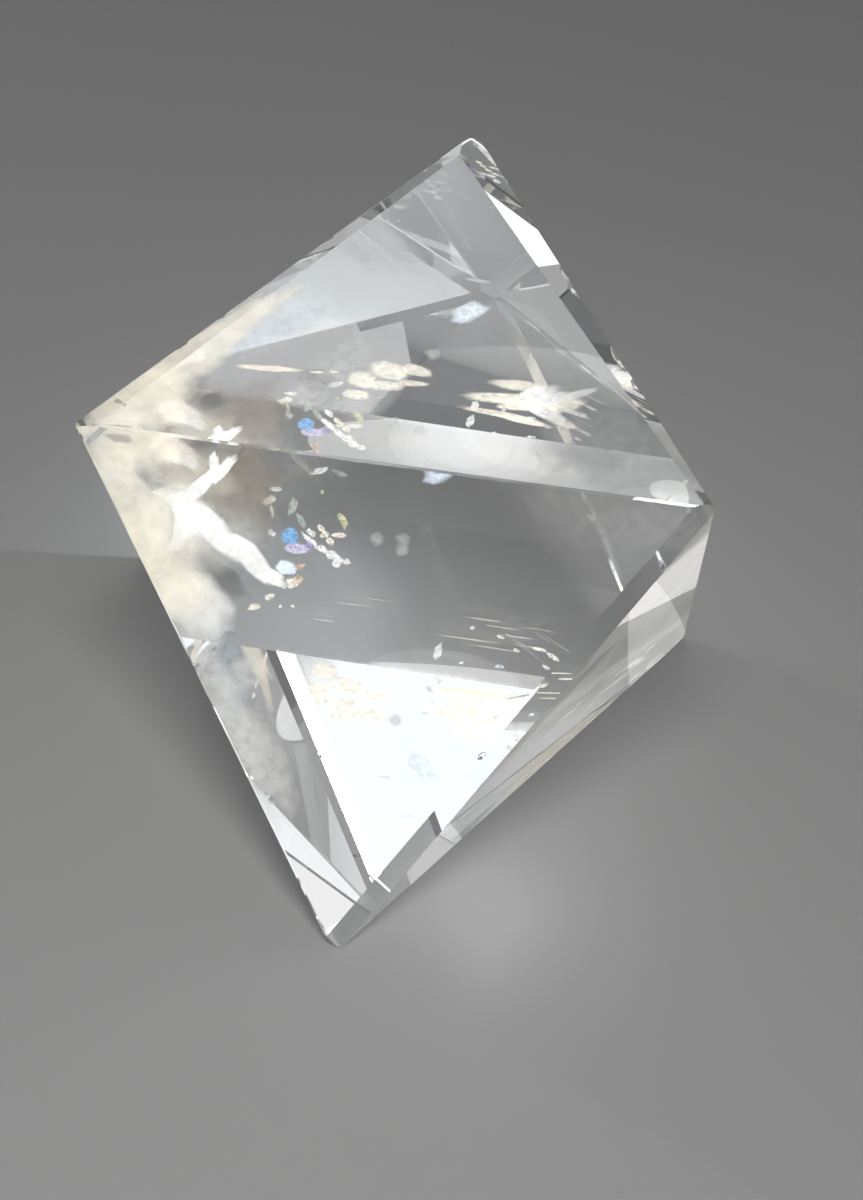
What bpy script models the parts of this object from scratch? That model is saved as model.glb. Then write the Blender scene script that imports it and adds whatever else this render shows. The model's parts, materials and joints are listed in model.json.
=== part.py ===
"""Clear quartz octahedron, cut and polished by hand, lying on one of its eight faces.

Metres, +Z up. The origin is the centre of the true solid's resting face. The wide front face leans
back from the low front corner, and the edge between it and the top face runs along X.

The stone is one solid. It is made the way it was cut: a rough octahedron, facets lapped along some
edges and on the corners, and small chips broken out of the edges.
"""

import itertools
import math

import bmesh
import bpy
from mathutils import Matrix, Vector

# Driving dimensions
EDGE = 0.030
ARRIS = 0.00009
CHIP_GRAIN = 2

# Sizes of a true octahedron that follow from its edge
HEIGHT = EDGE * math.sqrt(2 / 3)
CORNER_RADIUS = EDGE / math.sqrt(3)
TIP_RADIUS = EDGE / math.sqrt(2)

# Each corner: its bearing in degrees from +X, its share of the height, and how far the hand-cut
# stone is off the true corner
CORNERS = {
    "top_back": (90, 1, (0.00055, 0.00010, 0.00070)),
    "top_left": (210, 1, (0.00025, 0.00015, -0.00015)),
    "top_right": (330, 1, (0.00040, -0.00030, 0.00005)),
    "low_front": (270, 0, (-0.00030, -0.00025, 0)),
    "low_right": (30, 0, (-0.00045, -0.00025, 0)),
    "low_left": (150, 0, (-0.00035, 0.00045, 0)),
}
OPPOSITE = {
    "top_back": "low_front",
    "top_left": "low_right",
    "top_right": "low_left",
    "low_front": "top_back",
    "low_right": "top_left",
    "low_left": "top_right",
}

# Facets lapped along an edge: its two corners, a third corner that names one of the two faces, how
# far the facet reaches into that face at each of the two corners, and the share of it that the
# facet reaches into the other face
EDGE_FACETS = (
    ("top_right", "low_front", "top_left", 0.00083, 0.00088, 0.63),
    ("top_back", "top_right", "top_left", 0.00168, 0.00037, 0.35),
    ("top_left", "top_back", "top_right", 0.00094, 0.00063, 0.35),
    ("low_front", "low_left", "low_right", 0.00045, 0.00045, 1.0),
)

# Facets lapped on a corner: its depth below the tip, and how far it leans towards +X, +Y and +Z
CORNER_FACETS = {
    "top_back": (0.00034, (0.0, 0.0, 0.9)),
    "low_front": (0.00044, (-0.5, -0.2, 0.1)),
    "low_right": (0.00050, (0.0, 0.0, 0.0)),
    "top_left": (0.00012, (0.0, 0.0, 0.0)),
    "top_right": (0.00014, (0.2, 0.0, 0.2)),
    "low_left": (0.00022, (0.0, 0.0, 0.0)),
}

# Chips: the edge's two corners, a third corner that names the face the chip bites from, the chip's
# share of the way along, how far it lies into that face, its length, its depth and its turn
CHIPS = (
    ("top_back", "top_right", "low_right", 0.385, 0.00040, 0.0009, 0.00016, 20),
    ("top_back", "top_right", "low_right", 0.435, 0.00036, 0.0018, 0.00026, -15),
    ("top_back", "top_right", "low_right", 0.620, 0.00028, 0.0034, 0.00020, 5),
    ("top_back", "top_right", "low_right", 0.690, 0.00024, 0.0012, 0.00018, 30),
    ("top_back", "top_left", "low_left", 0.110, 0.00022, 0.0010, 0.00012, 0),
    ("top_back", "top_left", "low_left", 0.385, 0.00026, 0.0007, 0.00010, 25),
    ("top_back", "top_left", "low_left", 0.650, 0.00029, 0.0008, 0.00010, -10),
    ("top_back", "top_left", "low_left", 0.745, 0.00030, 0.0011, 0.00014, 15),
    ("top_right", "low_front", "low_right", 0.360, 0.00040, 0.0007, 0.00010, 40),
    ("top_right", "low_front", "top_left", 0.395, 0.00085, 0.0009, 0.00010, 15),
    ("top_right", "low_front", "top_left", 0.560, 0.00086, 0.0006, 0.00010, 35),
    ("low_front", "top_left", "low_left", 0.350, 0.0, 0.0008, 0.00008, 0),
    ("low_front", "top_left", "low_left", 0.620, 0.0, 0.0010, 0.00010, 15),
    ("top_right", "low_right", "top_back", 0.550, 0.0, 0.0012, 0.00012, 0),
    ("low_right", "low_front", "low_left", 0.640, 0.0, 0.0016, 0.00016, 10),
    ("low_left", "top_left", "top_back", 0.400, 0.0, 0.0015, 0.00018, 20),
    ("low_left", "top_back", "low_right", 0.550, 0.0, 0.0013, 0.00016, -20),
    ("low_right", "top_back", "low_left", 0.380, 0.0, 0.0014, 0.00016, 10),
)

# Finish of polished quartz
QUARTZ_COLOUR = (0.98, 0.98, 0.98, 1.0)
QUARTZ_IOR = 1.544
POLISH_ROUGHNESS = 0.02


def clear_scene():
    """Remove every object that the file starts with."""
    for item in list(bpy.data.objects):
        bpy.data.objects.remove(item, do_unlink=True)


def new_collection(name):
    """Return a new collection linked to the scene."""
    collection = bpy.data.collections.new(name)
    bpy.context.scene.collection.children.link(collection)
    return collection


def true_corner(name):
    """Return where a true octahedron has this corner."""
    bearing, level, _drift = CORNERS[name]
    angle = math.radians(bearing)
    return Vector((CORNER_RADIUS * math.cos(angle), CORNER_RADIUS * math.sin(angle), HEIGHT * level))


def cut_corner(name):
    """Return where the hand-cut stone has this corner, before its tip is lapped."""
    return true_corner(name) + Vector(CORNERS[name][2])


def face_normal(first, second, third):
    """Return the outward normal of the face with these corners."""
    a, b, c = cut_corner(first), cut_corner(second), cut_corner(third)
    normal = (b - a).cross(c - a).normalized()
    centre = Vector((0, 0, HEIGHT / 2))
    return normal if normal.dot(a - centre) > 0 else -normal


def side_corners(first, second):
    """Return the two corners that the faces beside an edge lead to."""
    in_line = {first, second, OPPOSITE[first], OPPOSITE[second]}
    return [name for name in CORNERS if name not in in_line]


def far_corner(first, second, third):
    """Return the side corner of an edge that is not the third corner."""
    return next(name for name in side_corners(first, second) if name != third)


def into_face(first, second, third):
    """Return the direction that leads from an edge straight into the face with a third corner."""
    start = cut_corner(first)
    along = (cut_corner(second) - start).normalized()
    inward = cut_corner(third) - start
    return (inward - along * inward.dot(along)).normalized()


def rough_octahedron():
    """Return a bmesh of the octahedron, resting on one face, with its corners where they were cut."""
    stone = bmesh.new()
    bmesh.ops.create_uvsphere(stone, u_segments=4, v_segments=2, radius=TIP_RADIUS)
    top_face = max(stone.faces, key=lambda face: face.normal.dot(Vector((1, 2, 3))))
    level = top_face.normal.rotation_difference(Vector((0, 0, 1))).to_matrix()
    bmesh.ops.rotate(stone, verts=stone.verts, cent=(0, 0, 0), matrix=level)
    tip = max(top_face.verts, key=lambda vert: vert.co.y)
    yaw = Matrix.Rotation(math.radians(90) - math.atan2(tip.co.y, tip.co.x), 3, "Z")
    bmesh.ops.rotate(stone, verts=stone.verts, cent=(0, 0, 0), matrix=yaw)
    bmesh.ops.translate(stone, verts=stone.verts, vec=(0, 0, HEIGHT / 2))
    for name in CORNERS:
        nearest = min(stone.verts, key=lambda vert: (vert.co - true_corner(name)).length)
        nearest.co = cut_corner(name)
    bmesh.ops.recalc_face_normals(stone, faces=stone.faces)
    return stone


def lap(stone, point, normal):
    """Take off what lies outside a plane and close the cut with one flat facet."""
    everything = stone.verts[:] + stone.edges[:] + stone.faces[:]
    cut = bmesh.ops.bisect_plane(
        stone, geom=everything, dist=1e-7, plane_co=point, plane_no=normal, clear_outer=True
    )
    rim = [item for item in cut["geom_cut"] if isinstance(item, bmesh.types.BMEdge)]
    bmesh.ops.holes_fill(stone, edges=rim, sides=0)


def lap_edge(stone, first, second, third, first_reach, second_reach, share):
    """Lap a facet along an edge, by how far it reaches into the two faces."""
    start, end = cut_corner(first), cut_corner(second)
    near_side = into_face(first, second, third)
    far_side = into_face(first, second, far_corner(first, second, third))
    near_start = start + near_side * first_reach
    near_end = end + near_side * second_reach
    far_start = start + far_side * first_reach * share
    normal = (near_end - near_start).cross(far_start - near_start).normalized()
    if normal.dot(near_side) > 0:
        normal.negate()
    lap(stone, near_start, normal)


def lap_corner(stone, name, depth, lean):
    """Lap a small facet on a corner's tip."""
    axis = (cut_corner(name) - cut_corner(OPPOSITE[name])).normalized()
    normal = (axis + Vector(lean)).normalized()
    lap(stone, cut_corner(name) - normal * depth, normal)


def lapped_edges():
    """Yield each of the twelve edges once, with its facet: a wide one, or only the fine arris."""
    wide = {frozenset(facet[:2]): facet for facet in EDGE_FACETS}
    for first, second in itertools.combinations(CORNERS, 2):
        if second != OPPOSITE[first]:
            fine = (first, second, side_corners(first, second)[0], ARRIS, ARRIS, 1.0)
            yield wide.get(frozenset((first, second)), fine)


def make_material():
    """Return the clear, polished quartz."""
    material = bpy.data.materials.new("clear_quartz")
    material.use_nodes = True
    shader = material.node_tree.nodes["Principled BSDF"]
    shader.inputs["Base Color"].default_value = QUARTZ_COLOUR
    shader.inputs["Metallic"].default_value = 0.0
    shader.inputs["Roughness"].default_value = POLISH_ROUGHNESS
    shader.inputs["IOR"].default_value = QUARTZ_IOR
    shader.inputs["Transmission Weight"].default_value = 1.0
    return material


def make_stone(collection):
    """Build the octahedron with its lapped facets."""
    stone = rough_octahedron()
    for facet in lapped_edges():
        lap_edge(stone, *facet)
    for name, (depth, lean) in CORNER_FACETS.items():
        lap_corner(stone, name, depth, lean)
    mesh = bpy.data.meshes.new("quartz_octahedron")
    stone.to_mesh(mesh)
    stone.free()
    mesh.materials.append(make_material())
    item = bpy.data.objects.new("quartz_octahedron", mesh)
    collection.objects.link(item)
    return item


def make_chip(collection, number, chip):
    """Build one chip's cutter: a shallow lens that bites into an edge, coarse enough to break in flats."""
    first, second, third, share, reach, length, depth, turn = chip
    start, end = cut_corner(first), cut_corner(second)
    fourth = far_corner(first, second, third)
    outward = (face_normal(first, second, third) + face_normal(first, second, fourth)).normalized()
    along = (end - start).normalized()
    across = outward.cross(along)
    cutter = bmesh.new()
    bmesh.ops.create_icosphere(cutter, subdivisions=CHIP_GRAIN, radius=1.0)
    spin = Matrix.Rotation(math.radians(turn), 3, "Z")
    bmesh.ops.rotate(cutter, verts=cutter.verts, cent=(0, 0, 0), matrix=spin)
    thickness = length / 4
    bmesh.ops.scale(cutter, verts=cutter.verts, vec=(length / 2, length / 3, thickness))
    frame = Matrix((along, across, outward)).transposed()
    bmesh.ops.rotate(cutter, verts=cutter.verts, cent=(0, 0, 0), matrix=frame)
    place = start.lerp(end, share) + into_face(first, second, third) * reach
    bmesh.ops.translate(cutter, verts=cutter.verts, vec=place + outward * (thickness - depth))
    mesh = bpy.data.meshes.new(f"chip_{number}")
    cutter.to_mesh(mesh)
    cutter.free()
    item = bpy.data.objects.new(f"chip_{number}", mesh)
    item.hide_render = True
    item.display_type = "WIRE"
    collection.objects.link(item)


def main():
    """Build the stone and break the chips out of it."""
    clear_scene()
    stones = new_collection("clear_quartz_octahedron")
    cutters = new_collection("chip_cutters")
    stone = make_stone(stones)
    for number, chip in enumerate(CHIPS, start=1):
        make_chip(cutters, number, chip)
    chips = stone.modifiers.new("chips", "BOOLEAN")
    chips.operation = "DIFFERENCE"
    chips.solver = "EXACT"
    chips.operand_type = "COLLECTION"
    chips.collection = cutters


if __name__ == "__main__":
    main()
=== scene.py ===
"""Looks of a clear quartz octahedron that lies on one of its eight faces.

Metres, +Z up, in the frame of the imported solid. The stone is one piece of clear crystal. Inside it
lie healed fractures, flakes and specks, each a mesh of its own that rides with the stone. Their
places and sizes are in millimetres.
"""

import json
import logging
import math
from dataclasses import dataclass, field
from enum import Enum

import bmesh
import bpy
from mathutils import Matrix, Vector, noise

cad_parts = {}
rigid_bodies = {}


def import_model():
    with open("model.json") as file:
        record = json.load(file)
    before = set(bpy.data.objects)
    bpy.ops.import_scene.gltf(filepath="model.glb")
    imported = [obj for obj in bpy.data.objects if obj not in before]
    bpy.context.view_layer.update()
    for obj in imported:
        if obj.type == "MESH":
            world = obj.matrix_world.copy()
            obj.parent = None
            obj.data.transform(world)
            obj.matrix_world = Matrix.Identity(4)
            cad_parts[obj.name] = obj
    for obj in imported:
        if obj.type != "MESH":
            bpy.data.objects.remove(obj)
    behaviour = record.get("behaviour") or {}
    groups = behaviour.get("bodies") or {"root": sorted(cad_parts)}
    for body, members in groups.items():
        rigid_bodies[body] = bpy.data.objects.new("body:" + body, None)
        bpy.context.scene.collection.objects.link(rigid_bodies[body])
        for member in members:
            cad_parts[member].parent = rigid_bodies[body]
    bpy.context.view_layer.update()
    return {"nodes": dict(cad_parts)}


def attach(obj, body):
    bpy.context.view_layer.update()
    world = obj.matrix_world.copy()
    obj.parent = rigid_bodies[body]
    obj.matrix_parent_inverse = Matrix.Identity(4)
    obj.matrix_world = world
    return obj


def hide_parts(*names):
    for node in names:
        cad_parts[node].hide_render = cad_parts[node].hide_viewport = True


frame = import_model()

LOG = logging.getLogger("quartz_octahedron")
BODY = "root"
STONE_NODE = "quartz_octahedron"
MILLIMETRE = 0.001

NOISE_MIDDLE = 0.5
PATCH_DETAIL = 4.0
BARE_FADE = 0.02

OUTLINE_SCALE = 1.4
OUTLINE_ROUGHNESS = 0.7
OUTLINE_LACUNARITY = 2.0
OUTLINE_OCTAVES = 4
RIPPLE_SCALE = 1.2
NUMBER_STEP = 3.7
RIPPLE_SHIFT = 1.9

Colour = tuple[float, float, float]
Place = tuple[float, float, float]
Facets = list[tuple[Vector, Vector]]

WHITE: Colour = (0.93, 0.93, 0.91)
BLUISH_WHITE: Colour = (0.78, 0.86, 0.95)
CREAM: Colour = (0.93, 0.88, 0.77)
BROWN_GREY: Colour = (0.42, 0.37, 0.32)
GREY: Colour = (0.42, 0.42, 0.41)
DARK_GREY: Colour = (0.14, 0.14, 0.13)
GREEN_GREY: Colour = (0.50, 0.56, 0.48)
YELLOW_GREEN: Colour = (0.72, 0.73, 0.48)
ORANGE_BROWN: Colour = (0.66, 0.50, 0.39)
BLUE: Colour = (0.26, 0.56, 0.92)
LILAC: Colour = (0.66, 0.61, 0.80)
PURPLE: Colour = (0.42, 0.33, 0.62)

NEUTRAL_LIGHT: Colour = (1.0, 1.0, 1.0)
COOL_LIGHT: Colour = (0.93, 0.98, 1.0)
WARM_LIGHT: Colour = (1.0, 0.98, 0.92)
WINDOW_LIGHT: Colour = (0.90, 0.95, 1.0)
BLUISH_LIGHT: Colour = (0.88, 0.94, 1.0)


class Facing(Enum):
    """Directions that the flakes face, as azimuth from +Y and elevation in degrees."""

    FRONT = (175.0, 34.0)
    TOP = (171.0, 60.0)
    SKYWARD = (180.0, 40.0)
    LEVEL = (180.0, 90.0)
    EDGE_TO_FRONT = (180.0, -56.0)

    def axes(self, turn: float) -> tuple[Vector, Vector, Vector]:
        """Give the sheet's own axes.

        Args:
            turn: Turn of the sheet in its own plane, in degrees.

        Returns:
            The unit vectors along the sheet, across it and out of it.
        """
        bearing, rise = (math.radians(angle) for angle in self.value)
        level = Vector((-math.cos(bearing), math.sin(bearing), 0.0))
        ahead = Vector((math.sin(bearing), math.cos(bearing), 0.0))
        out = ahead * math.cos(rise) + Vector((0.0, 0.0, math.sin(rise)))
        upward = out.cross(level)
        angle = math.radians(turn)
        along = level * math.cos(angle) + upward * math.sin(angle)
        return along, out.cross(along), out


def patchy_cover_group() -> bpy.types.NodeTree:
    """Make, or find, the node group that breaks up the cover of the inner sheets.

    Returns:
        A group that turns a place, a grain size and the sheet's fade into a cover from 0 to 1.
    """
    name = "patchy_cover"
    if name in bpy.data.node_groups:
        return bpy.data.node_groups[name]
    group = bpy.data.node_groups.new(name, "ShaderNodeTree")
    for socket, kind in (
        ("Place", "NodeSocketVector"),
        ("Fade", "NodeSocketFloat"),
        ("Scale", "NodeSocketFloat"),
        ("Contrast", "NodeSocketFloat"),
        ("Softness", "NodeSocketFloat"),
        ("Cover", "NodeSocketFloat"),
    ):
        group.interface.new_socket(socket, in_out="INPUT", socket_type=kind)
    group.interface.new_socket("Alpha", in_out="OUTPUT", socket_type="NodeSocketFloat")
    nodes, links = group.nodes, group.links
    inside, result = nodes.new("NodeGroupInput"), nodes.new("NodeGroupOutput")
    patches = nodes.new("ShaderNodeTexNoise")
    patches.inputs["Detail"].default_value = PATCH_DETAIL
    links.new(inside.outputs["Place"], patches.inputs["Vector"])
    links.new(inside.outputs["Scale"], patches.inputs["Scale"])
    centred = nodes.new("ShaderNodeMath")
    centred.operation = "SUBTRACT"
    centred.inputs[1].default_value = NOISE_MIDDLE
    links.new(patches.outputs["Fac"], centred.inputs[0])
    patchy = nodes.new("ShaderNodeMath")
    patchy.operation = "MULTIPLY_ADD"
    links.new(centred.outputs["Value"], patchy.inputs[0])
    links.new(inside.outputs["Contrast"], patchy.inputs[1])
    links.new(inside.outputs["Fade"], patchy.inputs[2])
    edge = nodes.new("ShaderNodeMapRange")
    edge.interpolation_type = "SMOOTHSTEP"
    edge.inputs["From Min"].default_value = BARE_FADE
    links.new(inside.outputs["Softness"], edge.inputs["From Max"])
    links.new(patchy.outputs["Value"], edge.inputs["Value"])
    cover = nodes.new("ShaderNodeMath")
    cover.operation = "MULTIPLY"
    cover.use_clamp = True
    links.new(edge.outputs["Result"], cover.inputs[0])
    links.new(inside.outputs["Cover"], cover.inputs[1])
    links.new(cover.outputs["Value"], result.inputs["Alpha"])
    return group


@dataclass(frozen=True)
class QuartzFinish:
    """Clear, polished quartz: nearly colourless, with faint polishing marks."""

    colour: Colour = (0.99, 0.99, 0.985)
    ior: float = 1.5465
    polish: float = 0.003
    haze: float = 0.0095
    scratch_spacing: float = 0.0011
    scratch_detail: float = 3.0
    scratched_from: float = 0.5
    scratched_to: float = 0.8
    absorption_colour: Colour = (0.90, 0.93, 0.95)
    absorption_density: float = 3.0

    def build(self) -> bpy.types.Material:
        """Make the material.

        Returns:
            The finished material.
        """
        material = bpy.data.materials.new("polished_quartz")
        material.use_nodes = True
        nodes, links = material.node_tree.nodes, material.node_tree.links
        shader = nodes["Principled BSDF"]
        shader.inputs["Base Color"].default_value = (*self.colour, 1.0)
        shader.inputs["Metallic"].default_value = 0.0
        shader.inputs["Transmission Weight"].default_value = 1.0
        shader.inputs["IOR"].default_value = self.ior
        place = nodes.new("ShaderNodeTexCoord")
        marks = nodes.new("ShaderNodeTexNoise")
        marks.inputs["Scale"].default_value = 1 / self.scratch_spacing
        marks.inputs["Detail"].default_value = self.scratch_detail
        links.new(place.outputs["Object"], marks.inputs["Vector"])
        spread = nodes.new("ShaderNodeMapRange")
        spread.inputs["From Min"].default_value = self.scratched_from
        spread.inputs["From Max"].default_value = self.scratched_to
        spread.inputs["To Min"].default_value = self.polish
        spread.inputs["To Max"].default_value = self.haze
        links.new(marks.outputs["Fac"], spread.inputs["Value"])
        links.new(spread.outputs["Result"], shader.inputs["Roughness"])
        absorption = nodes.new("ShaderNodeVolumeAbsorption")
        absorption.inputs["Color"].default_value = (*self.absorption_colour, 1.0)
        absorption.inputs["Density"].default_value = self.absorption_density
        links.new(absorption.outputs["Volume"], nodes["Material Output"].inputs["Volume"])
        return material


@dataclass(frozen=True)
class BrokenQuartzFinish:
    """Fresh break in the small chips: clear quartz with a slightly frosted surface."""

    colour: Colour = (0.98, 0.98, 0.975)
    ior: float = 1.5465
    roughness: float = 0.22

    def build(self) -> bpy.types.Material:
        """Make the material.

        Returns:
            The finished material.
        """
        material = bpy.data.materials.new("chipped_quartz")
        material.use_nodes = True
        shader = material.node_tree.nodes["Principled BSDF"]
        shader.inputs["Base Color"].default_value = (*self.colour, 1.0)
        shader.inputs["Metallic"].default_value = 0.0
        shader.inputs["Roughness"].default_value = self.roughness
        shader.inputs["Transmission Weight"].default_value = 1.0
        shader.inputs["IOR"].default_value = self.ior
        return material


@dataclass(frozen=True)
class SheetFinish:
    """Finish of the sheets inside the stone, tinted by each flake's own colour.

    The grain is the size of the patches in millimetres, the cover is how much of the view a patch
    hides, and the glow is painted light: the sheet emits its own tint, standing for light that it
    scatters inside the stone.
    """

    name: str
    metallic: float
    roughness: float
    grain: float
    contrast: float
    softness: float
    cover: float
    glow: float
    mottle: float = 0.25
    spots_per_grain: float = 2.3
    dark_spot: float = 0.35
    bright_spot: float = 0.6

    def build(self) -> bpy.types.Material:
        """Make the material.

        Returns:
            The finished material.
        """
        material = bpy.data.materials.new(self.name)
        material.use_nodes = True
        nodes, links = material.node_tree.nodes, material.node_tree.links
        shader = nodes["Principled BSDF"]
        shader.inputs["Metallic"].default_value = self.metallic
        shader.inputs["Roughness"].default_value = self.roughness
        place = nodes.new("ShaderNodeTexCoord")
        tint = nodes.new("ShaderNodeAttribute")
        tint.attribute_name = "tint"
        fade = nodes.new("ShaderNodeAttribute")
        fade.attribute_name = "fade"
        cover = nodes.new("ShaderNodeGroup")
        cover.node_tree = patchy_cover_group()
        cover.inputs["Scale"].default_value = 1 / (self.grain * MILLIMETRE)
        cover.inputs["Contrast"].default_value = self.contrast
        cover.inputs["Softness"].default_value = self.softness
        cover.inputs["Cover"].default_value = self.cover
        links.new(place.outputs["Object"], cover.inputs["Place"])
        links.new(fade.outputs["Fac"], cover.inputs["Fade"])
        links.new(cover.outputs["Alpha"], shader.inputs["Alpha"])
        spots = nodes.new("ShaderNodeTexNoise")
        spots.inputs["Scale"].default_value = self.spots_per_grain / (self.grain * MILLIMETRE)
        links.new(place.outputs["Object"], spots.inputs["Vector"])
        depth = nodes.new("ShaderNodeMapRange")
        depth.inputs["From Min"].default_value = self.dark_spot
        depth.inputs["From Max"].default_value = self.bright_spot
        depth.inputs["To Min"].default_value = 1 - self.mottle
        depth.inputs["To Max"].default_value = 1.0
        links.new(spots.outputs["Fac"], depth.inputs["Value"])
        shade = nodes.new("ShaderNodeMix")
        shade.data_type = "RGBA"
        shade.blend_type = "MULTIPLY"
        shade.inputs["Factor"].default_value = 1.0
        links.new(tint.outputs["Color"], shade.inputs["A"])
        links.new(depth.outputs["Result"], shade.inputs["B"])
        links.new(shade.outputs["Result"], shader.inputs["Base Color"])
        # Painted light: the sheet's tint is also emitted, at the strength of the glow.
        links.new(shade.outputs["Result"], shader.inputs["Emission Color"])
        shader.inputs["Emission Strength"].default_value = self.glow
        return material


@dataclass(frozen=True)
class FloorFinish:
    """Plain pale floor."""

    colour: Colour = (0.52, 0.52, 0.515)
    roughness: float = 0.5

    def build(self) -> bpy.types.Material:
        """Make the material.

        Returns:
            The finished material.
        """
        material = bpy.data.materials.new("pale_floor")
        material.use_nodes = True
        shader = material.node_tree.nodes["Principled BSDF"]
        shader.inputs["Base Color"].default_value = (*self.colour, 1.0)
        shader.inputs["Roughness"].default_value = self.roughness
        return material


@dataclass
class Stone:
    """The crystal itself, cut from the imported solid's own facets."""

    merge_distance: float = 1e-6
    flat_angle: float = math.radians(0.2)
    chip_area: float = 0.35 * MILLIMETRE**2
    finish: QuartzFinish = field(default_factory=QuartzFinish)
    chip_finish: BrokenQuartzFinish = field(default_factory=BrokenQuartzFinish)

    def outer_facets(self, crystal: bpy.types.Object) -> Facets:
        """Find the facets that bound the whole stone, which leaves out the chips.

        Args:
            crystal: The finished crystal.

        Returns:
            A point and the outward normal of each facet that the whole stone lies behind.
        """
        mesh = crystal.data
        facets = []
        for facet in mesh.polygons:
            reach = max((vert.co - facet.center).dot(facet.normal) for vert in mesh.vertices)
            if reach < self.merge_distance:
                facets.append((facet.center.copy(), facet.normal.copy()))
        return facets

    def build(self) -> bpy.types.Object:
        """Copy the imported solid, join its triangles into facets and dress it.

        Returns:
            The crystal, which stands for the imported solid.
        """
        solid = frame["nodes"][STONE_NODE]
        facets = bmesh.new()
        facets.from_mesh(solid.data)
        bmesh.ops.remove_doubles(facets, verts=facets.verts, dist=self.merge_distance)
        bmesh.ops.dissolve_limit(
            facets, angle_limit=self.flat_angle, verts=facets.verts, edges=facets.edges
        )
        for facet in facets.faces:
            facet.material_index = int(facet.calc_area() < self.chip_area)
        mesh = bpy.data.meshes.new("crystal")
        facets.to_mesh(mesh)
        facets.free()
        mesh.materials.append(self.finish.build())
        mesh.materials.append(self.chip_finish.build())
        crystal = bpy.data.objects.new("crystal", mesh)
        bpy.context.scene.collection.objects.link(crystal)
        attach(crystal, BODY)
        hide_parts(STONE_NODE)
        LOG.info("crystal: %d facets", len(mesh.polygons))
        return crystal


@dataclass(frozen=True)
class Flake:
    """One thin, ragged sheet inside the stone, in millimetres and degrees."""

    place: Place
    length: float
    width: float
    turn: float = 0.0
    tint: Colour = WHITE
    facing: Facing = Facing.FRONT
    depth: float = 0.1
    bend: float = 0.0
    taper: float = 0.0
    ragged: float = 0.35
    ripple: float = 0.08

    def add(self, sheets: bmesh.types.BMesh, number: int) -> None:
        """Add the flake to a mesh that gathers flakes of one finish.

        Args:
            sheets: The mesh, with its layers for the fade and the tint.
            number: The flake's number, which sets its own outline.
        """
        fade, tint = sheets.verts.layers.float["fade"], sheets.verts.layers.float_color["tint"]
        along, across, out = self.facing.axes(self.turn)
        made = bmesh.ops.create_icosphere(sheets, subdivisions=3, radius=1.0)
        for vert in made["verts"]:
            x, y, z = vert.co
            outline = noise.fractal(
                Vector((OUTLINE_SCALE * x, OUTLINE_SCALE * y, NUMBER_STEP * number)),
                OUTLINE_ROUGHNESS,
                OUTLINE_LACUNARITY,
                OUTLINE_OCTAVES,
            )
            waves = noise.noise(
                Vector((RIPPLE_SCALE * x, RIPPLE_SCALE * y, NUMBER_STEP * number + RIPPLE_SHIFT))
            )
            spread = 1 + self.ragged * outline
            vert[fade] = z * z
            vert[tint] = (*self.tint, 1.0)
            vert.co = MILLIMETRE * (
                Vector(self.place)
                + along * (0.5 * self.length * x * spread)
                + across * (0.5 * self.width * y * spread * (1 + self.taper * x) + self.bend * (1 - x * x))
                + out * (0.5 * self.depth * z + self.ripple * waves)
            )


def streak(
    place: Place, length: float, width: float, turn: float, tint: Colour, ragged: float = 0.1
) -> Flake:
    """Describe a flat, thin flake that shows through the top face and is edge-on from the front.

    Args:
        place: The middle of the flake, in millimetres.
        length: Its length, in millimetres.
        width: Its width, in millimetres.
        turn: Its turn in its own plane, in degrees.
        tint: Its colour.
        ragged: How far its outline strays, as a share of its size.

    Returns:
        The flake.
    """
    return Flake(
        place, length, width, turn, tint, Facing.EDGE_TO_FRONT, depth=0.05, ragged=ragged, ripple=0.02
    )


@dataclass
class Inclusions:
    """A group of flakes of one finish."""

    name: str
    finish: SheetFinish
    flakes: tuple[Flake, ...]
    clearance: float = 0.15 * MILLIMETRE

    def build(self, facets: Facets) -> bpy.types.Object:
        """Build the flakes as one mesh, cut off where they would reach the stone's surface.

        Args:
            facets: A point and the outward normal of each of the stone's outer facets.

        Returns:
            The finished group.
        """
        sheets = bmesh.new()
        sheets.verts.layers.float.new("fade")
        sheets.verts.layers.float_color.new("tint")
        for number, flake in enumerate(self.flakes):
            flake.add(sheets, number)
        for point, normal in facets:
            cut = bmesh.ops.bisect_plane(
                sheets,
                geom=sheets.verts[:] + sheets.edges[:] + sheets.faces[:],
                plane_co=point - normal * self.clearance,
                plane_no=normal,
                clear_outer=True,
            )
            rim = [edge for edge in cut["geom_cut"] if isinstance(edge, bmesh.types.BMEdge)]
            bmesh.ops.holes_fill(sheets, edges=rim, sides=0)
        for face in sheets.faces:
            face.smooth = True
        mesh = bpy.data.meshes.new(self.name)
        sheets.to_mesh(mesh)
        sheets.free()
        mesh.materials.append(self.finish.build())
        piece = bpy.data.objects.new(self.name, mesh)
        bpy.context.scene.collection.objects.link(piece)
        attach(piece, BODY)
        LOG.info("%s: %d flakes", self.name, len(self.flakes))
        return piece


# Every finish below glows: its glow is painted light, with the sheet emitting its own tint.
MILKY = SheetFinish(
    "milky_veil", metallic=0.0, roughness=0.6, grain=1.5,
    contrast=0.7, softness=0.7, cover=0.5, glow=0.55, mottle=0.12,
)
THIN_MILKY = SheetFinish(
    "thin_milky_veil", metallic=0.0, roughness=0.6, grain=1.3,
    contrast=1.0, softness=0.9, cover=0.32, glow=0.35,
)
BRIGHT = SheetFinish(
    "bright_fracture", metallic=0.1, roughness=0.5, grain=0.8,
    contrast=0.3, softness=0.5, cover=0.7, glow=0.65, mottle=0.15,
)
FEATHERY = SheetFinish(
    "feathery_fracture", metallic=0.2, roughness=0.4, grain=0.6,
    contrast=0.5, softness=0.7, cover=0.45, glow=0.9, mottle=0.3,
)
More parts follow.
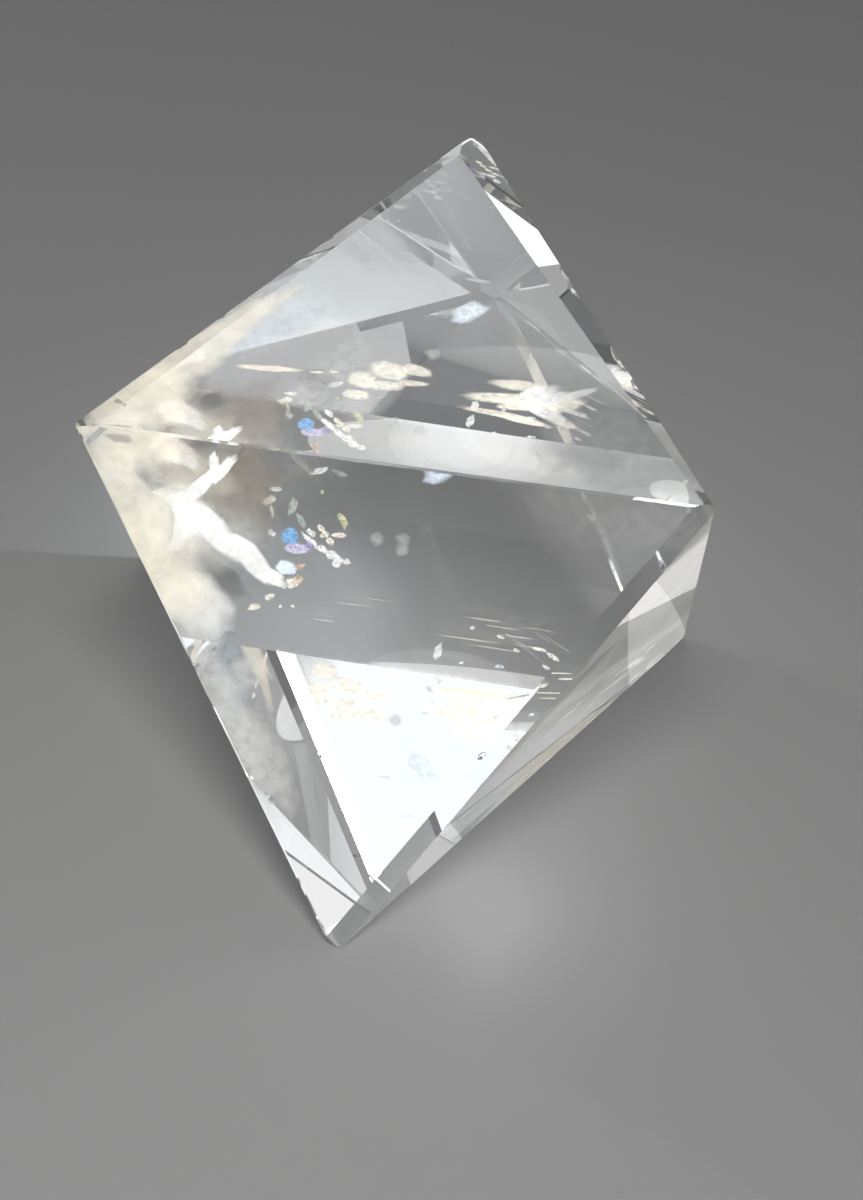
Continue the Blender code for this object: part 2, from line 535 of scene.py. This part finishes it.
# Glinting flakes: their glints are partly real reflection off the smooth, half-metallic sheet and partly
# painted light from the strong glow.
GLINT = SheetFinish(
    "glinting_flake", metallic=0.4, roughness=0.22, grain=0.35,
    contrast=0.8, softness=0.35, cover=0.5, glow=0.8, mottle=0.5,
)
SOFT = SheetFinish(
    "soft_speck", metallic=0.0, roughness=0.5, grain=0.4,
    contrast=0.4, softness=0.9, cover=0.3, glow=0.3,
)

LEFT_CORNER_MILK = Inclusions(
    "left_corner_milk",
    MILKY,
    (
        Flake((-12.2, -4.8, 21.8), 6.0, 5.0, -30, CREAM, Facing.TOP, taper=-0.3),
        Flake((-10.2, -5.2, 21.2), 3.0, 1.6, -38, WHITE, Facing.TOP, taper=-0.5),
        Flake((-9.6, -0.9, 23.2), 12.0, 3.0, 60, CREAM, Facing.LEVEL, taper=-0.4),
        Flake((-12.4, -8.0, 18.8), 8.0, 6.0, -60, CREAM, Facing.FRONT),
        Flake((-10.8, -7.4, 15.4), 7.0, 5.5, -58, CREAM, Facing.FRONT),
        Flake((-9.0, -7.2, 13.6), 5.0, 3.4, -30, WHITE, Facing.FRONT),
        Flake((-10.2, -6.9, 18.6), 4.0, 4.0, -60, WHITE, Facing.FRONT),
    ),
)

LEFT_CORNER_HAZE = Inclusions(
    "left_corner_haze",
    THIN_MILKY,
    (
        Flake((-8.6, -4.6, 20.6), 6.0, 5.0, -20, BROWN_GREY, Facing.TOP),
        Flake((-7.3, -3.3, 18.6), 4.0, 6.0, 0, BROWN_GREY, Facing.TOP),
        Flake((-9.5, -5.8, 20.4), 5.0, 4.0, 0, CREAM, Facing.FRONT),
        Flake((-7.0, -3.4, 18.6), 4.5, 4.5, 0, BROWN_GREY, Facing.FRONT),
        Flake((-7.2, -3.2, 15.5), 5.0, 5.0, 30, GREY, Facing.FRONT),
        Flake((-8.4, -3.6, 16.4), 6.0, 5.0, -50, WHITE, Facing.FRONT),
        Flake((-7.8, 1.9, 20.8), 8.0, 3.0, 30, BLUISH_WHITE, Facing.TOP),
        Flake((-6.4, -7.0, 9.4), 2.6, 1.6, 90, WHITE, Facing.FRONT),
        Flake((-7.0, -8.6, 7.4), 12.0, 4.0, -62, WHITE, Facing.FRONT),
        Flake((-5.6, -9.0, 6.0), 9.0, 3.0, -62, WHITE, Facing.FRONT),
        Flake((12.0, -4.6, 22.3), 9.0, 7.0, -10, GREY, Facing.FRONT),
        Flake((9.0, -2.7, 20.7), 6.6, 6.4, -20, GREY, Facing.TOP),
        Flake((-4.8, 0.7, 17.7), 2.4, 2.2, 0, GREY, Facing.FRONT),
    ),
)

# Dark grey sheets that make parts of the left corner darker.
LEFT_CORNER_DARK_PATCHES = Inclusions(
    "left_corner_dark_patches",
    SOFT,
    (
        Flake((-12.6, -8.0, 23.4), 1.7, 0.5, -4, DARK_GREY, Facing.FRONT),
        Flake((-9.0, -4.2, 21.6), 1.3, 1.5, 0, DARK_GREY, Facing.TOP),
        Flake((-13.0, -6.0, 23.0), 0.7, 0.4, -40, DARK_GREY, Facing.TOP),
        Flake((-7.9, -4.6, 13.6), 3.4, 1.9, -38, DARK_GREY, Facing.FRONT),
        Flake((-7.6, -7.6, 12.4), 1.9, 0.3, -4, DARK_GREY, Facing.FRONT),
    ),
)

FORKED_FRACTURE = Inclusions(
    "forked_fracture",
    BRIGHT,
    (
        Flake((-8.2, -6.6, 21.6), 1.8, 0.5, 97, WHITE),
        Flake((-7.8, -6.5, 21.4), 1.9, 0.6, 50, WHITE),
        Flake((-8.7, -6.7, 20.6), 2.8, 0.9, 50, WHITE),
        Flake((-9.4, -6.9, 18.9), 3.0, 1.2, -66, WHITE, Facing.SKYWARD),
        Flake((-8.2, -7.1, 18.1), 4.4, 1.3, -40, WHITE, Facing.SKYWARD, bend=0.1),
        Flake((-6.6, -7.1, 16.8), 4.0, 1.2, -38, WHITE, Facing.SKYWARD, bend=0.2),
        Flake((-5.4, -6.7, 15.6), 2.2, 0.8, -24, WHITE, Facing.SKYWARD),
        Flake((-4.7, -5.4, 15.3), 1.1, 0.8, 0, BLUISH_WHITE, Facing.SKYWARD),
        Flake((-6.8, -1.2, 21.4), 3.3, 0.45, -3, CREAM, Facing.TOP),
        Flake((-4.5, -1.0, 21.3), 0.8, 0.16, 0, CREAM, Facing.TOP),
        Flake((-3.7, -0.8, 21.3), 0.5, 0.13, 0, CREAM, Facing.TOP),
    ),
)

CLUSTER = Inclusions(
    "central_cluster",
    GLINT,
    (
        Flake((-5.9, 0.2, 16.2), 0.75, 0.25, 4, WHITE),
        Flake((-6.2, 0.0, 15.6), 0.75, 0.45, 20, CREAM),
        Flake((-6.0, -0.2, 15.1), 0.7, 0.18, -75, CREAM),
        Flake((-5.0, -0.1, 15.5), 0.95, 0.5, 80, GREEN_GREY),
        Flake((-4.5, -0.3, 14.8), 0.9, 0.3, -60, GREEN_GREY),
        Flake((-5.0, -0.6, 14.0), 0.95, 0.9, 0, BLUE, ragged=0.15),
        Flake((-4.7, -0.8, 13.4), 1.5, 0.55, 0, LILAC),
        Flake((-4.0, -0.7, 13.7), 0.45, 0.4, 0, PURPLE),
        Flake((-3.5, -0.4, 14.6), 0.5, 0.35, -40, CREAM),
        Flake((-3.3, -0.5, 14.3), 0.5, 0.35, 30, CREAM),
        Flake((-3.0, -0.6, 14.0), 0.45, 0.35, -50, CREAM),
        Flake((-2.6, -0.3, 15.1), 0.9, 0.35, -60, YELLOW_GREEN, bend=0.15),
        Flake((-2.6, -0.5, 14.4), 0.9, 0.3, 4, CREAM),
        Flake((-2.9, -0.9, 13.4), 0.6, 0.5, 30, WHITE),
        Flake((-2.6, -1.0, 13.0), 0.5, 0.45, -30, WHITE),
        Flake((-4.4, -1.2, 12.6), 0.65, 0.35, 20, ORANGE_BROWN),
        Flake((-4.4, -1.3, 11.9), 0.5, 0.4, -30, ORANGE_BROWN),
        Flake((-4.7, -1.4, 11.7), 0.85, 0.6, 30, CREAM),
        Flake((-5.8, -1.7, 10.8), 0.55, 0.3, 30, CREAM),
        Flake((-6.5, -1.9, 10.2), 0.75, 0.35, 20, CREAM),
        Flake((-4.6, -1.8, 10.5), 0.2, 0.2, 0, CREAM),
        Flake((-5.2, -1.8, 10.4), 0.2, 0.2, 0, WHITE),
        Flake((-3.6, 0.2, 16.4), 0.2, 0.2, 0, YELLOW_GREEN),
        Flake((-6.0, 0.2, 13.5), 0.5, 0.3, -50, WHITE, Facing.TOP),
        Flake((-4.1, 0.7, 13.5), 0.65, 0.3, -45, WHITE, Facing.TOP),
        Flake((-4.0, -0.1, 13.5), 1.4, 0.35, -48, WHITE, Facing.TOP),
        Flake((-3.3, -0.7, 13.5), 0.8, 0.35, -50, WHITE, Facing.TOP),
        Flake((-2.6, -1.2, 13.5), 1.0, 0.35, -36, WHITE, Facing.TOP),
        Flake((-2.1, -1.5, 13.5), 0.4, 0.35, 0, WHITE, Facing.TOP),
        Flake((-4.8, 0.7, 17.7), 1.7, 0.35, -38, GREY),
        Flake((-3.8, 0.6, 17.4), 0.9, 0.3, 22, WHITE),
        Flake((-2.8, 0.6, 17.4), 0.9, 0.3, -18, GREY),
    ),
)

BACK_STREAKS = Inclusions(
    "back_streaks",
    FEATHERY,
    (
        streak((-3.9, 8.9, 2.4), 1.7, 1.7, -24, CREAM, ragged=0.15),
        streak((-2.5, 9.2, 3.5), 2.4, 1.7, -24, CREAM, ragged=0.15),
        streak((-1.0, 9.4, 3.9), 1.9, 1.1, -10, CREAM, ragged=0.15),
        streak((4.2, 9.0, 3.8), 3.2, 1.0, 6, CREAM),
        streak((5.5, 8.9, 3.5), 2.8, 1.1, 30, WHITE),
        streak((6.2, 8.8, 3.1), 2.8, 1.3, 32, WHITE),
        streak((6.9, 8.6, 2.7), 2.8, 1.1, 34, CREAM),
        streak((7.4, 8.9, 3.7), 2.8, 0.7, 38, WHITE),
        streak((3.6, 8.7, 2.6), 4.6, 1.1, 8, CREAM, ragged=0.15),
        streak((5.0, 8.6, 2.3), 3.6, 1.0, 14, CREAM, ragged=0.15),
        Flake((1.5, 10.9, 11.6), 2.3, 1.3, 25, BLUISH_WHITE, Facing.TOP),
    ),
)

BACK_SPECKS = Inclusions(
    "back_specks",
    GLINT,
    (
        Flake((3.9, 8.5, 3.5), 0.28, 0.18, 20, WHITE),
        Flake((5.4, 8.3, 3.3), 0.45, 0.2, -18, WHITE),
        Flake((6.3, 8.1, 2.7), 0.38, 0.2, -18, WHITE),
        Flake((7.9, 7.9, 2.0), 0.45, 0.22, -22, WHITE),
        Flake((5.5, 7.8, 1.7), 0.5, 0.2, 0, BLUISH_WHITE),
        Flake((3.5, 7.8, 1.6), 0.4, 0.16, 22, WHITE),
        Flake((7.4, 8.2, 2.9), 0.9, 0.18, -8, WHITE),
        Flake((8.2, 8.1, 2.6), 0.8, 0.25, -28, WHITE),
        Flake((7.0, 8.2, 2.6), 2.4, 0.08, -32, GREY),
        Flake((6.4, 8.3, 3.1), 2.0, 0.07, -32, GREY),
        Flake((8.4, 8.3, 3.3), 2.2, 0.07, -30, GREY),
        Flake((7.7, 8.2, 3.6), 1.8, 0.06, -30, GREY),
        Flake((2.2, 8.4, 1.7), 1.0, 0.45, 80, WHITE),
    ),
)

SOFT_SPECKS = Inclusions(
    "soft_specks",
    SOFT,
    (
        Flake((-0.8, 0.5, 13.8), 0.8, 0.8, 0, WHITE, ragged=0.1),
        Flake((0.5, 0.4, 13.4), 0.8, 0.8, 0, WHITE, ragged=0.1),
        Flake((1.8, 8.8, 2.8), 0.5, 0.4, 30, GREY),
        Flake((-0.1, 9.4, 8.0), 0.9, 0.9, 0, WHITE, Facing.TOP, ragged=0.15),
    ),
)


@dataclass(frozen=True)
class SoftBox:
    """A soft rectangular lamp that faces the stone.

    The azimuth runs from +Y towards +X. It, the elevation and the lamp's width and height as seen
    from the stone are in degrees.
    """

    name: str
    azimuth: float
    elevation: float
    width: float
    height: float
    radiance: float
    colour: Colour = NEUTRAL_LIGHT
    distance: float = 0.6
    off_floor: bool = False

    def build(self, target: Vector, lit: bpy.types.Collection) -> bpy.types.Object:
        """Make the lamp.

        Args:
            target: The point that the lamp faces.
            lit: What the lamp lights where it is kept off the floor.

        Returns:
            The lamp.
        """
        bearing, rise = math.radians(self.azimuth), math.radians(self.elevation)
        away = Vector(
            (math.sin(bearing) * math.cos(rise), math.cos(bearing) * math.cos(rise), math.sin(rise))
        )
        light = bpy.data.lights.new(self.name, "AREA")
        light.shape = "RECTANGLE"
        light.size = 2 * self.distance * math.tan(math.radians(self.width / 2))
        light.size_y = 2 * self.distance * math.tan(math.radians(self.height / 2))
        light.energy = self.radiance * math.pi * light.size * light.size_y
        light.color = self.colour
        lamp = bpy.data.objects.new(self.name, light)
        lamp.matrix_world = (
            Matrix.Translation(target + away * self.distance)
            @ away.to_track_quat("Z", "Y").to_matrix().to_4x4()
        )
        bpy.context.scene.collection.objects.link(lamp)
        if self.off_floor:
            lamp.light_linking.receiver_collection = lit
        return lamp


@dataclass(frozen=True)
class FloorGlow:
    """A weak bulb just over the floor, for light that the stone bends onto it. In millimetres."""

    name: str
    place: Place
    radiance: float
    colour: Colour = NEUTRAL_LIGHT

    def build(self) -> bpy.types.Object:
        """Make the lamp.

        Returns:
            The lamp.
        """
        height = self.place[2] * MILLIMETRE
        light = bpy.data.lights.new(self.name, "POINT")
        light.energy = 4 * math.pi**2 * height**2 * self.radiance / FloorFinish.colour[0]
        light.color = self.colour
        light.shadow_soft_size = 0.0
        lamp = bpy.data.objects.new(self.name, light)
        lamp.location = MILLIMETRE * Vector(self.place)
        bpy.context.scene.collection.objects.link(lamp)
        return lamp


@dataclass(frozen=True)
class UnderGlow:
    """Light on the floor right under the resting face, as a lamp in the gap. In millimetres."""

    name: str
    x: float
    y: float
    width: float
    depth: float
    radiance: float
    height: float = -0.05

    def build(self) -> bpy.types.Object:
        """Make the lamp.

        Returns:
            The lamp.
        """
        light = bpy.data.lights.new(self.name, "AREA")
        light.shape = "ELLIPSE"
        light.size = self.width * MILLIMETRE
        light.size_y = self.depth * MILLIMETRE
        light.energy = self.radiance * math.pi * light.size * light.size_y * math.pi / 4
        lamp = bpy.data.objects.new(self.name, light)
        lamp.rotation_euler = (math.pi, 0.0, 0.0)
        lamp.location = MILLIMETRE * Vector((self.x, self.y, self.height))
        bpy.context.scene.collection.objects.link(lamp)
        return lamp


@dataclass(frozen=True)
class FloorLight:
    """A soft spot lamp on the floor in front of the stone, where the pale table catches light."""

    place: Place = (0.02, -0.22, 0.40)
    aim: Place = (0.0, -0.10, 0.0)
    energy: float = 3.4
    angle: float = 44.0
    blend: float = 1.0
    radius: float = 0.06

    def build(self) -> bpy.types.Object:
        """Make the lamp.

        Returns:
            The lamp.
        """
        place, aim = Vector(self.place), Vector(self.aim)
        light = bpy.data.lights.new("floor_light", "SPOT")
        light.energy = self.energy
        light.spot_size = math.radians(self.angle)
        light.spot_blend = self.blend
        light.shadow_soft_size = self.radius
        lamp = bpy.data.objects.new("floor_light", light)
        lamp.matrix_world = (
            Matrix.Translation(place) @ (place - aim).to_track_quat("Z", "Y").to_matrix().to_4x4()
        )
        bpy.context.scene.collection.objects.link(lamp)
        return lamp


@dataclass(frozen=True)
class PhotographView:
    """The camera, where the photograph was taken from. Angles in degrees, lens in millimetres."""

    place: Place = (0.01588, -0.12733, 0.12726)
    azimuth: float = -6.424
    tilt_down: float = 42.915
    roll: float = 3.249
    sensor_width: float = 36.0
    focal_length: float = 102.31
    nearest: float = 0.01

    def build(self) -> bpy.types.Object:
        """Make the camera and let the scene look through it.

        Returns:
            The camera.
        """
        azimuth, tilt, roll = (math.radians(angle) for angle in (self.azimuth, self.tilt_down, self.roll))
        forward = Vector(
            (math.sin(azimuth) * math.cos(tilt), math.cos(azimuth) * math.cos(tilt), -math.sin(tilt))
        )
        level_right = forward.cross(Vector((0, 0, 1))).normalized()
        level_up = level_right.cross(forward)
        right = level_right * math.cos(roll) + level_up * math.sin(roll)
        up = level_up * math.cos(roll) - level_right * math.sin(roll)
        lens = bpy.data.cameras.new("photograph_view")
        lens.sensor_width = self.sensor_width
        lens.lens = self.focal_length
        lens.clip_start = self.nearest
        camera = bpy.data.objects.new("photograph_view", lens)
        axes = Matrix((right, up, -forward)).transposed().to_4x4()
        camera.matrix_world = Matrix.Translation(self.place) @ axes
        bpy.context.scene.collection.objects.link(camera)
        bpy.context.scene.camera = camera
        return camera


@dataclass
class Studio:
    """Floor, light and camera.

    The sky's stops are heights from 0 at the horizon to 1 overhead, each with its grey level.
    """

    floor_radius: float = 0.6
    floor_gap: float = 0.0001
    sky: tuple[tuple[float, float], ...] = (
        (0.0, 0.45), (0.24, 0.40), (0.34, 0.12), (0.5, 0.12), (0.7, 0.06), (1.0, 0.03),
    )
    lamps: tuple[SoftBox, ...] = (
        SoftBox("overhead_box", 180, 57, 56, 26, 1.1, COOL_LIGHT, off_floor=True),
        SoftBox("right_front_box", 118, 24, 70, 36, 0.62, COOL_LIGHT),
        SoftBox("right_box", 80, 14, 40, 26, 0.5),
        SoftBox("left_box", -80, 8, 50, 26, 0.87, WARM_LIGHT),
        SoftBox("window_box", -14, 46, 36, 22, 1.3, WINDOW_LIGHT, off_floor=True),
    )
    glows: tuple[FloorGlow | UnderGlow, ...] = (
        FloorGlow("glow_behind_left", (-8.0, 11.2, 5.0), 0.8, BLUISH_LIGHT),
        FloorGlow("glow_behind_right", (6.5, 10.6, 3.5), 0.2),
        FloorGlow("glow_front_right", (7.0, -13.0, 5.0), 0.12),
        FloorGlow("glow_far_left", (-190.0, 80.0, 60.0), 0.5),
        UnderGlow("under_band", 6.0, 6.6, 24.0, 6.0, 0.3),
        UnderGlow("under_band_wide", 2.6, 7.6, 9.0, 6.0, 0.08),
        UnderGlow("under_band_broad", 2.4, 7.7, 7.7, 5.4, 0.08),
        UnderGlow("under_band_middle", 2.2, 7.8, 6.4, 4.8, 0.08),
        UnderGlow("under_band_narrow", 2.0, 7.9, 5.1, 4.2, 0.08),
        UnderGlow("under_band_bright", 1.9, 8.0, 3.8, 3.6, 0.1),
        UnderGlow("under_front", 3.6, -10.4, 5.0, 4.0, 0.4),
        UnderGlow("under_right", 13.0, 6.2, 2.2, 1.6, 0.5),
    )
    lamp_target: Place = (0.0, 0.0, 0.012)
    floor_light: FloorLight = field(default_factory=FloorLight)
    view: PhotographView = field(default_factory=PhotographView)
    stone_bounces: int = 14
    diffuse_bounces: int = 3
    sheet_bounces: int = 20

    def build(self) -> None:
        """Set up the floor, the sky, the lamps, the camera and the light paths."""
        lit = bpy.data.collections.new("stone_and_inclusions")
        for piece in bpy.context.scene.collection.objects:
            if piece.type == "MESH":
                lit.objects.link(piece)
        self.build_floor()
        self.build_sky()
        for lamp in self.lamps:
            lamp.build(Vector(self.lamp_target), lit)
        for glow in self.glows:
            glow.build()
        self.floor_light.build()
        self.view.build()
        settings = bpy.context.scene.cycles
        settings.max_bounces = self.stone_bounces
        settings.transmission_bounces = self.stone_bounces
        settings.glossy_bounces = self.stone_bounces
        settings.diffuse_bounces = self.diffuse_bounces
        settings.transparent_max_bounces = self.sheet_bounces
        settings.use_denoising = True
        bpy.context.scene.view_settings.view_transform = "Standard"

    def build_floor(self) -> None:
        """Lay a round pale floor just under the stone."""
        disc = bmesh.new()
        bmesh.ops.create_circle(disc, cap_ends=True, radius=self.floor_radius, segments=96)
        bmesh.ops.translate(disc, verts=disc.verts, vec=(0, 0, -self.floor_gap))
        mesh = bpy.data.meshes.new("floor")
        disc.to_mesh(mesh)
        disc.free()
        mesh.materials.append(FloorFinish().build())
        floor = bpy.data.objects.new("floor", mesh)
        bpy.context.scene.collection.objects.link(floor)

    def build_sky(self) -> None:
        """Surround the scene with a soft grey that is brightest at the horizon."""
        world = bpy.data.worlds.new("soft_surround")
        world.use_nodes = True
        nodes, links = world.node_tree.nodes, world.node_tree.links
        place = nodes.new("ShaderNodeTexCoord")
        split = nodes.new("ShaderNodeSeparateXYZ")
        links.new(place.outputs["Generated"], split.inputs["Vector"])
        ramp = nodes.new("ShaderNodeValToRGB")
        stops = ramp.color_ramp.elements
        stops.remove(stops[1])
        for index, (position, level) in enumerate(self.sky):
            stop = stops[0] if index == 0 else stops.new(position)
            stop.position = position
            stop.color = (level, level, level, 1)
        links.new(split.outputs["Z"], ramp.inputs["Fac"])
        links.new(ramp.outputs["Color"], nodes["Background"].inputs["Color"])
        bpy.context.scene.world = world


def main() -> None:
    """Build the stone, what lies inside it and its studio."""
    logging.basicConfig(level=logging.INFO, format="%(message)s")
    stone = Stone()
    facets = stone.outer_facets(stone.build())
    for group in (
        LEFT_CORNER_MILK,
        LEFT_CORNER_HAZE,
        LEFT_CORNER_DARK_PATCHES,
        FORKED_FRACTURE,
        CLUSTER,
        BACK_STREAKS,
        BACK_SPECKS,
        SOFT_SPECKS,
    ):
        group.build(facets)
    Studio().build()


if __name__ == "__main__":
    main()
